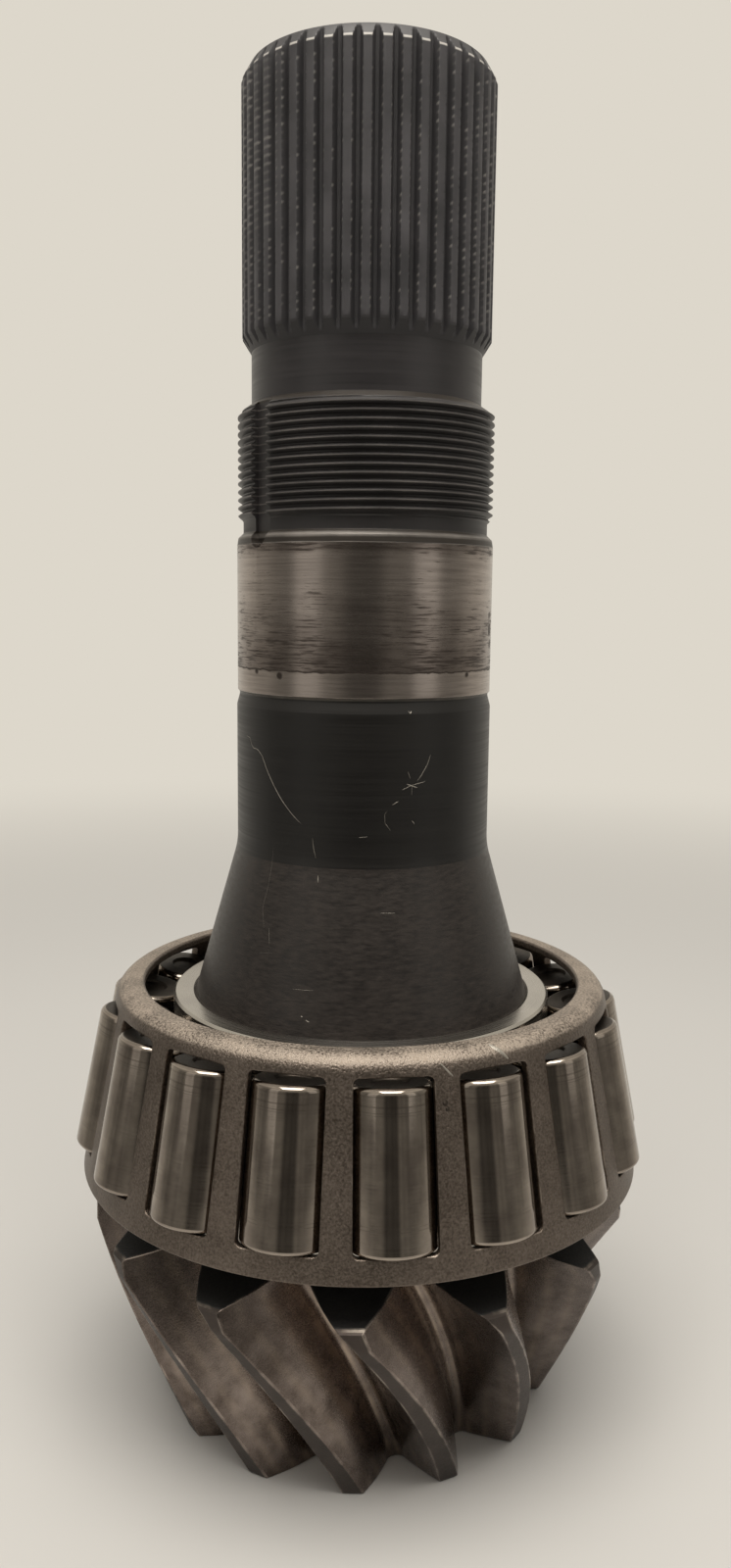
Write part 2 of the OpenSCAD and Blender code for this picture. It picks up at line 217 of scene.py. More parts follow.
# %% [markdown]
# ## Steel of the gear head
#
# The flanks were cut, case hardened and lapped, and then ran in oil: a satin brown-grey skin with cloudy
# stains. Pale streaks along the roots are a painted highlight, standing in for the fillets' reflections.
# Lands and heel faces kept the black of the quench. A bare flank is metallic; black scale is not a metal
# to the eye, so there the shader is a dark dielectric whose gloss rises at a glancing angle. Clouds of
# some millimetres and a grain break up colour and gloss, and numbers on the points say where a surface is
# rubbed and where a highlight is painted. The real grain is finer than a pixel, so it is drawn about half
# a millimetre wide.


# %% Gear head finishes
def stained_steel(name, dark, light, worn, roughness, cloud_mm, grain_mm, bump, metallic=1.0, speckle=0.15,
                  lap=-0.12):
    """Oiled steel: clouds of cloud_mm between two tones, with a share of speckle from a grain of grain_mm
    that also breaks up gloss and relief. A point number for polish lightens it, as lapped wear on gear
    flanks and as a painted highlight on the cage's crown, and shifts its roughness by lap. A point number
    for the roots paints a paler, glossier highlight there, and 'worn' bares its edges."""
    material, add, shader, place = start_finish(name, {"Metallic": metallic})
    clouds = add("TexNoise", {"Vector": place, "Scale": PER_MM / cloud_mm, "Detail": 5.0, "Roughness": 0.6})
    grain = add("TexNoise", {"Vector": place, "Scale": PER_MM / grain_mm, "Detail": 3.0, "Roughness": 0.6})
    patches = add("TexNoise", {"Vector": place, "Scale": PER_MM / 6, "Detail": 3.0})
    polish_and_highlight, root_highlight, rub = [add("Attribute", out="Fac", attribute_name=mark)
                            for mark in ("polish_and_highlight", "root_highlight", "worn")]
    both = add("Mix", {0: speckle, 2: clouds, 3: grain})
    spread = add("MapRange", (both, 0.36, 0.64))
    # Polish lightens the tone: lapped wear on gear flanks, a painted highlight on the cage's crown.
    lapped_and_highlight = add("Math", (polish_and_highlight, spread), "MULTIPLY")
    # The mark on the roots paints pale, glossier streaks: a painted highlight of the fillets' reflections.
    patchy = add("MapRange", (patches, 0.38, 0.6, 0.3))
    painted_root_highlight = add("Math", (root_highlight, patchy), "MULTIPLY")
    broken = add("Math", (rub, patches), "MULTIPLY")
    bared = add("MapRange", (broken, 0.38, 0.66))
    colour = add("Mix", {0: spread, 6: linear(dark), 7: linear(light)}, **COLOUR)
    for amount, tone in ((lapped_and_highlight, worn), (painted_root_highlight, "#b0a090"), (bared, worn)):
        colour = add("Mix", {0: amount, 6: colour, 7: linear(tone)}, **COLOUR)
    gloss = add("MapRange", (grain, 0.3, 0.7, roughness * 0.85, roughness * 1.2))
    for amount, shift in ((lapped_and_highlight, lap), (painted_root_highlight, -0.1)):
        gloss = add("Math", (amount, shift, gloss), "MULTIPLY_ADD")
    relief = add("Bump", {"Height": grain, "Strength": bump, "Distance": 0.2 * MM})
    wire(shader, colour, gloss, relief)
    return material


# Name, dark, light and worn tones, roughness, sizes of clouds and grain, bump, metallic, speckle.
head_skins = [stained_steel(*row) for row in (
    ("lapped_case_hardened_steel", "#5f554f", "#80756f", "#a79b93", 0.27, 7, 0.4, 0.12, 1.0, 0.2),
    ("oil_black_hardened_steel", "#413b37", "#4f4743", "#a39a8f", 0.42, 6, 0.5, 0.3, 0.8),
    ("quench_black_steel", "#0b0a0a", "#121110", "#6e665d", 0.6, 8, 0.6, 0.4, 0.0),
    ("turned_toe_steel", "#57514a", "#7a7268", "#a89e90", 0.42, 8, 0.4, 0.3, 1.0),
)]
print("finishes of the gear head:", [skin.name for skin in head_skins])

# %% [markdown]
# ## The gear head
#
# A spiral bevel tooth is cut by a cutter head whose path curves across the gear blank, so each gap between
# two teeth is one section swept along a curved line while it grows from the small end, the toe, to the large
# end, the heel. Cutting thirteen gaps from a cone would do it too, but a surface that follows root, flank
# and land directly gives clean edges that can carry a small break, as the real ones do.

# %% Section of a tooth gap
TEETH = 13
PITCH = 2 * np.pi / TEETH
TOE_TIP_R, HEEL_TIP_R = 50.7, 70.8
TOE_ROOT_R, HEEL_ROOT_R = 38.2, 54.5
FACE_Z, BAND_Z, HEEL_ROOT_Z = 50.0, 54.2, 60.7052
HEEL_SLOPE = math.radians(20)
HEEL_TURN, TWIST, BOW = -1.3, 28.3, 3.6
ROOT_HALF, SIDE_SLOPE, FLANK_R = 1.5, math.tan(math.radians(28.5)), 45.0
FILLET, FILLET_PULL = 2.0, 1.9
EDGE = 0.4
GUARD = EDGE + 0.15


def root_r(z):
    """Radius of the gap's bottom: straight from toe to heel."""
    return TOE_ROOT_R + (HEEL_ROOT_R - TOE_ROOT_R) * z / HEEL_ROOT_Z


def cone_depth(z):
    """Depth of the gap from its bottom to the face cone, measured along the slope of the heel face."""
    rise = (HEEL_TIP_R - TOE_TIP_R) / FACE_Z
    return (TOE_TIP_R + rise * z - root_r(z)) / (math.cos(HEEL_SLOPE) + rise * math.sin(HEEL_SLOPE))


def tip_depth(z):
    """Depth to the tip: the least of the face cone, the upright band at the heel, and the bevel over it."""
    band = (HEEL_TIP_R - root_r(z)) / math.cos(HEEL_SLOPE)
    bevel = (HEEL_TIP_R + BAND_Z - z - root_r(z)) / (math.cos(HEEL_SLOPE) - math.sin(HEEL_SLOPE))
    return np.minimum(np.minimum(cone_depth(z), band), bevel)


def gap_middle(z):
    """Angle of the middle of a gap: a straight twist from heel to toe, with a bow added."""
    t = (z - cone_depth(z) * math.sin(HEEL_SLOPE)) / BAND_Z
    return np.radians(HEEL_TURN + TWIST * (1 - t) + BOW * t * (1 - t) - 90) + PITCH / 2


def half_gap(q):
    """Half the gap's width at a distance q from its bottom: a slope with a slight curve."""
    return ROOT_HALF + SIDE_SLOPE * q + q * q / (2 * FLANK_R)


# Columns from the middle of a gap up one flank to the middle of the land: fillet, flank, guard, broken edge,
# guard, land. The guards keep a worn edge narrow.
fillet_t = np.array([0, 0.3, 0.55, 0.8])
flank_s = np.linspace(0, 1, 9)[:-1] ** 0.9
FILLETS = len(fillet_t)
column_base = np.r_[FILLET * fillet_t ** 2, np.full(15, FILLET)]
column_share = np.r_[np.zeros(FILLETS), flank_s, np.ones(7)]
column_trim = np.r_[np.zeros(FILLETS), GUARD * flank_s, GUARD, EDGE, EDGE * 0.3, np.zeros(4)]
column_arc = np.r_[np.zeros(15), EDGE * 0.3, EDGE, GUARD, 0]
fillet_w = 2 * fillet_t * (1 - fillet_t) * FILLET_PULL + fillet_t ** 2 * half_gap(FILLET)
SIDE = len(column_base)
print("columns of a flank:", SIDE)


# %% Gear head surface
def gap_side(z):
    """One flank at root heights z (rows by columns): radius, angle from the gap's middle and height. The
    distance q from the bottom grows from the fillet to the tip, less the broken edge."""
    q = column_base + column_share * (tip_depth(z) - FILLET) - column_trim
    r = root_r(z) + q * math.cos(HEEL_SLOPE)
    in_fillet = np.arange(SIDE) < FILLETS
    wide = np.where(in_fillet, np.r_[fillet_w, np.zeros(SIDE - FILLETS)], half_gap(q)) + column_arc
    angle = np.where(np.arange(SIDE) == SIDE - 1, PITCH / 2, wide / r)
    return r, angle, z - q * math.sin(HEEL_SLOPE)


def all_teeth(r, angle, height, z):
    """Carries one flank to both sides of a gap and round the gear: the other side is its mirror image."""
    middle = gap_middle(z)
    left_middle = middle[:, 1:-1][:, ::-1] + PITCH
    both_r = np.hstack([r, r[:, 1:-1][:, ::-1]])
    both_z = np.hstack([height, height[:, 1:-1][:, ::-1]])
    both_a = np.hstack([middle + angle, left_middle - angle[:, 1:-1][:, ::-1]])
    turn = np.repeat(np.arange(TEETH) * PITCH, both_a.shape[1])
    return polar(np.tile(both_r, TEETH), np.tile(both_a, TEETH) + turn, np.tile(both_z, TEETH))


def root_height_for(level):
    """Root height z of each column whose surface point lies at a level: z = level + q(z) sin(slope), found by
    repeating that step."""
    z = np.full((1, SIDE), float(level))
    for _ in range(30):
        z = z + level - gap_side(z)[2]
    return z


TOE_BREAK, HEEL_BREAK, HEEL_GUARD = 0.3, 0.35, 0.55
toe_z = root_height_for(0)
share = np.linspace(0, 1, 2001)[:, None]
tip_rise = gap_side(toe_z + share * (HEEL_ROOT_Z - toe_z))[2][:, -1]
band_w, bevel_w = np.interp([FACE_Z, BAND_Z], tip_rise, share[:, 0])
row_w = np.r_[np.linspace(0.02, band_w, 30), np.linspace(band_w, bevel_w, 5)[1:], 1 - (1 - bevel_w) * 0.5]
rise_z = np.vstack([toe_z, root_height_for(TOE_BREAK), toe_z + row_w[:, None] * (HEEL_ROOT_Z - toe_z)]
                   + [np.full((1, SIDE), HEEL_ROOT_Z - below) for below in (HEEL_GUARD, HEEL_BREAK, 0)])
tooth = all_teeth(*gap_side(rise_z), rise_z)
print("rows up a tooth:", len(rise_z), "columns round the gear:", tooth.shape[1])

# %% Ends of the gear head
HUB_R, HUB_FACE_Z = 52.5, 62.8
TOE_LIP, HEEL_LIP = 0.09, 0.1
# Radius and depth of the lathe's centre hole: drill point, bore, conical seat and its mouth.
CENTRE_HOLE = np.array([[0, 20.3], [4, 18], [4, 8.66], [9, 0], [9.1, 0]])


def inset(outline, distance):
    """Moves a closed outline inwards: each point goes square to the line between its neighbours."""
    x, y = outline[:, 0], outline[:, 1]
    tx = np.roll(x, -1) - np.roll(x, 1)
    ty = np.roll(y, -1) - np.roll(y, 1)
    length = np.hypot(tx, ty)
    return x - distance * ty / length, y + distance * tx / length


def cone_height(r):
    """Height of the heel's back cone at a radius."""
    return HEEL_ROOT_Z - (r - HEEL_ROOT_R) * math.tan(HEEL_SLOPE)


toe_lip, toe = [inset(tooth[0], distance) for distance in (TOE_LIP, TOE_BREAK)]
heel_lip, heel, heel_guard = [inset(tooth[-1], distance) for distance in (HEEL_LIP, HEEL_BREAK, HEEL_GUARD)]
toe_face = lathe(np.vstack([CENTRE_HOLE, [[24, 0], [37, 0]]]), np.arctan2(toe[1], toe[0]))
toe_rows = [*toe_face, spots(*toe, 0), spots(*toe_lip, TOE_LIP)]
flank_rows = list(tooth[1:-1])
heel_a, heel_r = np.arctan2(heel_guard[1], heel_guard[0]), np.hypot(*heel_guard)
heel_rows = [spots(*heel_lip, cone_height(np.hypot(*heel_lip)) - HEEL_LIP),
             spots(*heel, cone_height(np.hypot(*heel))), spots(*heel_guard, cone_height(heel_r))]
for part in (0.35, 0.7, 1.0):
    r = heel_r * (1 - part) + HUB_R * part
    heel_rows.append(polar(r, heel_a, cone_height(r)))
hub = [[HUB_R, HUB_FACE_Z - 0.25], [HUB_R - 0.2, HUB_FACE_Z], [44.5, HUB_FACE_Z], [0, HUB_FACE_Z]]
head_points = np.array(toe_rows + flank_rows + heel_rows + list(lathe(np.array(hub), heel_a)))
rows, columns = head_points.shape[:2]
print("gear head grid:", rows, "rows,", columns, "columns")

# %% Gear head piece
A_TOOTH = 2 * SIDE - 2
in_tooth = np.arange(columns) % A_TOOTH
from_root = np.minimum(in_tooth, A_TOOTH - in_tooth)
on_land = (in_tooth >= SIDE - 4) & (in_tooth < SIDE + 2)
first_flank, first_heel = len(toe_rows), len(toe_rows) + len(flank_rows)
face_row, row = np.arange(rows - 1)[:, None], np.arange(rows)
# Skins by number: flank, land, heel, toe.
zone = np.where(face_row < first_flank - 1, 3, np.where(face_row >= first_heel, 2, np.where(on_land, 1, 0)))
in_flank = (row >= first_flank) & (row <= first_heel)
edge_column = np.isin(from_root, SIDE - np.array([6, 5, 4, 3]))
edge_row = np.isin(row, [first_flank - 2, first_flank - 1, first_heel - 1, first_heel, first_heel + 1])
worn = 0.9 * ((edge_column & in_flank[:, None]) | edge_row[:, None])
up_flank = np.clip((from_root - FILLETS) / (SIDE - 10), 0, 1)
along_face = (row - first_flank) / len(flank_rows)
polish_and_highlight = 0.45 * np.sin(np.pi * up_flank) * (np.exp(-((along_face - 0.35) / 0.22) ** 2) * in_flank)[:, None]
# Pale streaks up the root fillets: a painted highlight standing in for their reflections.
root_highlight_streaks = [0.1, 0.7, 0.2, 0.1, 0.6, 0.1, 0.05, 0.45, 0.05, 0, 0.25, 0]
root_highlight = np.interp(from_root, np.arange(len(root_highlight_streaks)), root_highlight_streaks) * in_flank[:, None]
make_piece("gear_head", head_points, grid_quads(rows, columns), head_skins, "pinion", "pinion_shaft",
           zone, {"worn": worn, "polish_and_highlight": polish_and_highlight, "root_highlight": root_highlight})

# %% [markdown]
# ## Black and bright skins of the shaft
#
# The shaft is one bar with several skins. Cone and plain length are turned and black oxidised under oil,
# with fine tool lines; thread and spline are phosphated, a matt grey-black. Oxide and phosphate are thin
# ceramic skins, so they are dark dielectrics. All lines run round the shaft, so the pattern is a stretched
# noise: it varies fast up the shaft and slowly round it. Real tool lines are too fine to show, so they are
# drawn half a millimetre apart or more.


# %% Turned shaft finishes
def turned_steel(name, dark, light, worn, roughness, line_mm, bump, streak, metallic=0.0, run_mm=55):
    """Turned steel: lines line_mm apart and run_mm long, from noise squeezed along height plus radius so that
    they run round a cylinder and a faced end alike, over clouds of 12 mm. The point number 'worn' rubs it
    lighter, and 'bright' is bare metal."""
    material, add, shader, place = start_finish(name, {"Metallic": metallic})
    x, y, z = [add("SeparateXYZ", (place,), out=axis) for axis in "XYZ"]
    level = add("CombineXYZ", (x, y))
    reach = add("VectorMath", (level,), "LENGTH", "Value")
    feed = add("Math", (z, reach), "ADD")
    tool_path = add("CombineXYZ", (x, y, feed))
    squeeze = add("Mapping", {"Vector": tool_path,
                                    "Scale": (PER_MM / run_mm, PER_MM / run_mm, PER_MM / line_mm)})
    lines = add("TexNoise", {"Vector": squeeze, "Scale": 1.0, "Detail": 3.0, "Roughness": 0.65})
    clouds = add("TexNoise", {"Vector": place, "Scale": PER_MM / 12, "Detail": 4.0})
    rub, bare = [add("Attribute", out="Fac", attribute_name=mark) for mark in ("worn", "bright")]
    both = add("Mix", {0: streak, 2: clouds, 3: lines})
    spread = add("MapRange", (both, 0.36, 0.64))
    broken = add("Math", (rub, clouds), "MULTIPLY")
    rubbed = add("MapRange", (broken, 0.15, 0.6))
    colour = add("Mix", {0: spread, 6: linear(dark), 7: linear(light)}, **COLOUR)
    for amount, tone in ((rubbed, worn), (bare, "#cfcac2")):
        colour = add("Mix", {0: amount, 6: colour, 7: linear(tone)}, **COLOUR)
    gloss = add("MapRange", (lines, 0.3, 0.7, roughness - 0.06, roughness + 0.08))
    relief = add("Bump", {"Height": lines, "Strength": bump, "Distance": 0.1 * MM})
    wire(shader, colour, gloss, relief)
    return material


# Name, dark, light and worn tones, roughness, distance of lines, bump, share of lines, metallic, run.
shaft_skins = [turned_steel(*row) for row in (
    ("brown_black_turned_steel", "#1f1b19", "#332d29", "#6a645c", 0.42, 0.6, 0.6, 0.75, 0.0, 3),
    ("black_oxide_turned_steel", "#141211", "#1b1917", "#6a645c", 0.4, 0.5, 0.15, 0.4),
    ("phosphated_thread_steel", "#2b2929", "#363333", "#6e6965", 0.45, 2.0, 0.1, 0.3),
    ("rubbed_black_steel", "#2d2824", "#3e3832", "#96908a", 0.4, 0.7, 0.2, 0.6, 0.3),
    ("phosphated_spline_steel", "#363537", "#424042", "#605e61", 0.5, 1.5, 0.1, 0.4),
    ("phosphated_neck_steel", "#302e2f", "#3c393a", "#58565a", 0.36, 0.8, 0.1, 0.5),
)]
cone_steel, length_steel, thread_steel, lead_steel, spline_steel, neck_steel = shaft_skins
print("skins of the shaft:", [skin.name for skin in shaft_skins])

# %% [markdown]
# ## The fretted bearing seat
#
# The seat was ground bright. The bearing crept on it, and fretting left dark streaks round the shaft, dense
# at both ends of the track. At the lower end a ragged black line parts them from a clean band. Pits and
# stains sit where the photograph shows them. An image would fix the pattern to one side, so it is worked
# out from the place on the shaft: streaks from stretched noise, with a threshold that falls towards the
# track's ends. Real grinding lines are finer than a pixel, and are drawn as coarse as they need to show.

# %% Seat finish
SEAT_R = 32.5
TRACK_LOW, TRACK_HIGH = 197.7, 225.8
PITS = ((-53.4, 196.7, 0.7), (-38.3, 195.9, 0.85), (50.4, 196.4, 0.6), (75, 207, 1.7), (76, 203.5, 1.2),
        (74, 210.5, 0.9), (140, 196.9, 0.7), (-130, 205, 1.4))


def on_seat(turn, z):
    """A place on the seat in metres, from degrees off the front and a height in millimetres."""
    a = math.radians(turn)
    return (SEAT_R * MM * math.sin(a), -SEAT_R * MM * math.cos(a), z * MM)


seat_steel, add, shader, place = start_finish("ground_fretted_steel", {"Metallic": 1.0})
height = add("SeparateXYZ", (place,), out="Z")
# Streaks are about 7 mm long and half a millimetre high, grinding lines 20 mm and two thirds.
squeeze = add("Mapping", {"Vector": place, "Scale": (140, 140, 1900)})
streaks = add("TexNoise", {"Vector": squeeze, "Scale": 1.0, "Detail": 5.0, "Roughness": 0.68})
lay = add("Mapping", {"Vector": place, "Scale": (50, 50, 1500)})
ground = add("TexNoise", {"Vector": lay, "Scale": 1.0, "Detail": 4.0, "Roughness": 0.7})
ragged = add("TexNoise", {"Vector": place, "Scale": PER_MM / 2.5, "Detail": 4.0})
patch = add("TexNoise", {"Vector": place, "Scale": PER_MM / 9, "Detail": 3.0})
uneven = add("Math", (ragged, 1.1 * MM, height), "MULTIPLY_ADD")
track = add("MapRange", (uneven, (TRACK_LOW - 0.1) * MM, (TRACK_LOW + 0.2) * MM))
low_end = add("MapRange", (height, 199 * MM, 221 * MM, 0.56, 0.72))
top_end = add("MapRange", (height, 223.5 * MM, TRACK_HIGH * MM, 0.0, -0.15))
ends = add("Math", (low_end, top_end), "ADD")
needed = add("Math", (patch, -0.22, ends), "MULTIPLY_ADD")
full = add("Math", (needed, 0.14), "ADD")
streaked = add("MapRange", (streaks, needed, full, 0.0, 0.8))
dark = add("Math", (streaked, track), "MULTIPLY")
off_line = add("Math", (uneven, TRACK_LOW * MM), "SUBTRACT")
near_line = add("Math", (off_line,), "ABSOLUTE")
line = add("MapRange", (near_line, 0.1 * MM, 0.3 * MM, 0.9, 0.0))
dark = add("Math", (dark, line), "MAXIMUM")
for turn, z, size in PITS:
    away = add("VectorMath", (place, on_seat(turn, z)), "DISTANCE", "Value")
    blurred = add("Math", (ragged, 0.9 * MM, away), "MULTIPLY_ADD")
    pit = add("MapRange", (blurred, (size + 0.2) * MM, (size + 0.7) * MM, 0.95, 0.0))
    dark = add("Math", (dark, pit), "MAXIMUM")
stain = add("MapRange", (needed, 0.46, 0.56, 1.0, 0.0))
soaked = add("Math", (stain, track), "MULTIPLY")
lines = add("MapRange", (ground, 0.42, 0.68, 0.0, 0.5))
colour = linear("#b2a8a1")
for amount, tone in ((soaked, "#8c827c"), (lines, "#6e6560"), (dark, "#443d39")):
    colour = add("Mix", {0: amount, 6: colour, 7: linear(tone)}, **COLOUR)
gloss = add("MapRange", (dark, 0.0, 1.0, 0.25, 0.5))
relief = add("Bump", {"Height": streaks, "Strength": 0.1, "Distance": 0.1 * MM})
wire(shader, colour, gloss, relief)
print("seat finish:", seat_steel.name, "with", len(seat_steel.node_tree.nodes), "nodes")

# %% [markdown]
# ## The shaft
#
# Turned on a lathe, threaded, and milled with a slot for the lock washer's tongue. As a mesh it is a profile
# carried round the axis. Near the slot the columns are led along its walls instead of straight up, and
# the thread is a ribbon wound round the shaft: each turn shares its edge with the turn below.

# %% Shaft profile and slot
SHAFT_COLUMNS = 240
STEP = 2 * np.pi / SHAFT_COLUMNS
SLOT_TURN = math.radians(-53 - 90)
SLOT_HALF, SLOT_FLOOR = 3.25, 29.95
SLOT_FOOT, SLOT_ROUND_Z, SLOT_END = 226.23, 229.48, 261.9
SLOT_EDGE, SLOT_EASE = 4, 12
JOURNAL_R, RELIEF_R, LEAD_R, UNDERCUT_R, NECK_R = 32.7, 32.0, 32.2, 30.9, 28.75
THREAD_LOW, THREAD_HIGH = 233.233, 261.633


def round_the_shaft(r, z, column):
    """Points of the shaft from radius, height and column number, counted from the slot's middle. Columns up
    to SLOT_EDGE span the slot at fixed shares of its width and drop to its floor; the next few ease back."""
    r, z, column = np.broadcast_arrays(r, z, column)
    inside = (z >= SLOT_FOOT) & (z <= SLOT_END)
    foot = np.clip((SLOT_ROUND_Z - z) / SLOT_HALF, 0, 1)
    half = np.maximum(SLOT_HALF * np.sqrt(1 - foot ** 2), 0.02)
    far = np.clip(np.where(z < SLOT_FOOT, SLOT_FOOT - z, z - SLOT_END) / 4, 0, 1)
    below = SLOT_EDGE * STEP * far
    above = np.arcsin(SLOT_HALF / r.clip(SLOT_HALF)) * (1 - far) + SLOT_EDGE * STEP * far
    edge = np.where(z < SLOT_FOOT, below, np.where(z > SLOT_END, above, np.arcsin(half / r.clip(SLOT_HALF))))
    n = np.abs(column)
    across = half * np.clip(n / (SLOT_EDGE - 1), 0, 1)
    on_floor = inside & (n < SLOT_EDGE)
    depth = np.where(on_floor, np.minimum(r, np.hypot(SLOT_FLOOR, across)), r)
    ease = edge + (n - SLOT_EDGE) / (SLOT_EASE - SLOT_EDGE) * (SLOT_EASE * STEP - edge)
    angle = np.where(n <= SLOT_EDGE, edge * n / SLOT_EDGE, np.where(n <= SLOT_EASE, ease, n * STEP))
    angle = np.where(on_floor, np.arcsin(across / depth.clip(across + 1e-9)), angle)
    return polar(depth, SLOT_TURN + np.sign(column) * angle, z)


column = np.arange(SHAFT_COLUMNS) - SHAFT_COLUMNS // 2
low_corners = [(0, 58, 0), (44, 58, 0), (44, 111.433, 0.3), (JOURNAL_R, 151.333, 20),
               (JOURNAL_R, 187.533, 0.3), (RELIEF_R, 190.133, 0.25), (RELIEF_R, 190.733, 0.12),
               (SEAT_R, 191.233, 0.15), (SEAT_R, 226.1, 0)]
lead = rounded([(SEAT_R, 226.15, 0), (SEAT_R, 227.233, 0.3), (LEAD_R, 229.133, 0.4),
                (UNDERCUT_R, 230.333, 0.35), (UNDERCUT_R, THREAD_LOW, 0)])
round_end = SLOT_ROUND_Z - SLOT_HALF * np.cos(np.linspace(0, np.pi / 2, 9))
lead_z = np.unique(np.r_[SLOT_FOOT, round_end, lead[1:, 1]])
lead_r = np.interp(lead_z, lead[:, 1], lead[:, 0])
low = np.vstack([rounded(low_corners, 9), [[SEAT_R, SLOT_FOOT - 1e-3]], np.c_[lead_r, lead_z]])
neck = np.array([[NECK_R, THREAD_HIGH], [NECK_R, 262.2], [NECK_R, 266], [NECK_R, 275], [0, 275]])
print("profile points below the thread:", len(low), "and above:", len(neck))

# %% Thread ribbon
THREAD_PITCH, THREAD_DEPTH, THREAD_R = 2.0, 1.15, 32.25
END_BEVEL = 3.5 / 2.4
thread_t = np.array([0, 0.07, 0.11, 0.26, 0.41, 0.44, 0.5, 0.56, 0.59, 0.74, 0.89, 0.93])
thread_drop = np.interp(thread_t, [0, 0.08, 0.42, 0.45, 0.55, 0.58, 0.92, 1], [1, 1, 0.05, 0, 0, 0.05, 1, 1])
ACROSS = len(thread_t)
ALONG = int((THREAD_HIGH - THREAD_LOW) / THREAD_PITCH + 2) * SHAFT_COLUMNS


def thread_ribbon():
    """Wound ribbon: the height is the pitch times the turns so far plus the share across the ribbon, kept
    between the ends of the thread; the radius follows a 60 degree thread, kept inside the two end bevels."""
    along = np.arange(ALONG + SHAFT_COLUMNS)[:, None]
    z = THREAD_LOW + THREAD_PITCH * (along / SHAFT_COLUMNS - 1.3 + thread_t)
    z = np.clip(z, THREAD_LOW, THREAD_HIGH)
    foot = UNDERCUT_R + (z - THREAD_LOW)
    bevel = NECK_R + (THREAD_HIGH - z) * END_BEVEL
    r = np.minimum(np.minimum(foot, bevel), THREAD_R - THREAD_DEPTH * thread_drop)
    crest = (thread_drop < 0.06) & (r > THREAD_R - 0.15)
    points = round_the_shaft(r, z, along % SHAFT_COLUMNS - SHAFT_COLUMNS // 2)
    k, j = np.meshgrid(np.arange(ALONG - 1), np.arange(ACROSS), indexing="ij")
    up_k, up_j = np.where(j < ACROSS - 1, k, k + SHAFT_COLUMNS), (j + 1) % ACROSS
    corners = [k * ACROSS + j, (k + 1) * ACROSS + j, (up_k + 1) * ACROSS + up_j, up_k * ACROSS + up_j]
    return points, np.stack(corners, -1).reshape(-1, 4), crest.ravel()


ribbon_points, ribbon_quads, thread_crest = thread_ribbon()
print("thread ribbon faces:", len(ribbon_quads))

# %% Shaft piece
# Heights at which the skins change, from cone, plain length, seat and lead to thread, its end bevel and the
# neck, and the place of each in the list of skins.
SKIN_Z = [150.5, 191.2, 227.2, 230.4, 260.2, 261.7]
SKIN_ORDER = [0, 4, 1, 3, 2, 3, 5]
skins = [cone_steel, seat_steel, thread_steel, lead_steel, length_steel, neck_steel]
shaft_points, shaft_quads = join([
    (round_the_shaft(low[:, :1], low[:, 1:], column), grid_quads(len(low), SHAFT_COLUMNS)),
    (ribbon_points, ribbon_quads),
    (round_the_shaft(neck[:, :1], neck[:, 1:], column), grid_quads(len(neck), SHAFT_COLUMNS))])
face_z = shaft_points[shaft_quads][..., 2].mean(1)
zone = np.choose(np.digitize(face_z, SKIN_Z), SKIN_ORDER)
rubbed_edge = np.isin(np.round(low[:, 1]), [191, 227, 229]) & (low[:, 0] > 31)
no_neck = np.zeros(len(neck) * SHAFT_COLUMNS)
worn = np.r_[np.repeat(0.8 * rubbed_edge, SHAFT_COLUMNS), 0.75 * thread_crest, no_neck]
make_piece("stepped_shaft", shaft_points, shaft_quads, skins, "pinion", "pinion_shaft", zone,
           {"worn": worn})

# %% [markdown]
# ## The spline
#
# Forty-four straight teeth that drive the flange, hobbed into the bar and phosphated black. Their crests are
# rubbed lighter and nicked where the flange was driven on. The section of one tooth is repeated round the
# shaft and limited by a cone at each end, which leaves the arches where a groove runs out.

# %% Spline section
SPLINES = 44
SPLINE_LOW, SPLINE_HIGH, SPLINE_R = 274.033, 339.333, 31
NICK_PITCH, NICK_DEPTH = 1.85, 0.2
DASH_Z = SPLINE_HIGH - 2.9
tooth_deg = [1.6, 1.82, 2.0, 2.5, 3.0, 3.3, 3.6]
spline_deg = np.array([-4.0909, *(-np.array(tooth_deg[::-1])), 0, *tooth_deg])
spline_r = np.interp(np.abs(spline_deg), [0, 1.6, 1.82, 2.0, 3.1, 3.3, 3.6, 5],
                     [SPLINE_R, SPLINE_R, 30.96, 30.8, 29.5, 29.35, 29.3, 29.3])
nick_z = np.arange(SPLINE_LOW + 5.5, SPLINE_HIGH - 4, NICK_PITCH)
spline_z = np.unique(np.r_[SPLINE_LOW, np.linspace(SPLINE_LOW + 0.4, SPLINE_LOW + 3.6, 9), nick_z - 0.6,
                           nick_z, nick_z + 0.5, DASH_Z + np.array([-0.5, -0.3, 0.1, 0.3]),
                           np.linspace(SPLINE_HIGH - 2.3, SPLINE_HIGH - 0.15, 8), SPLINE_HIGH])
round_r = np.tile(spline_r, SPLINES)
tooth_turn = np.repeat(np.arange(SPLINES), len(spline_deg)) * 360 / SPLINES - 0.7
round_a = np.radians(np.tile(spline_deg, SPLINES) + tooth_turn)
run_out = NECK_R + (spline_z - SPLINE_LOW) * 2.25 / 3.6
bevel = 29.1 + (SPLINE_HIGH - spline_z) * 1.9 / 3.2
print("rows of the spline:", len(spline_z), "columns:", len(round_a))

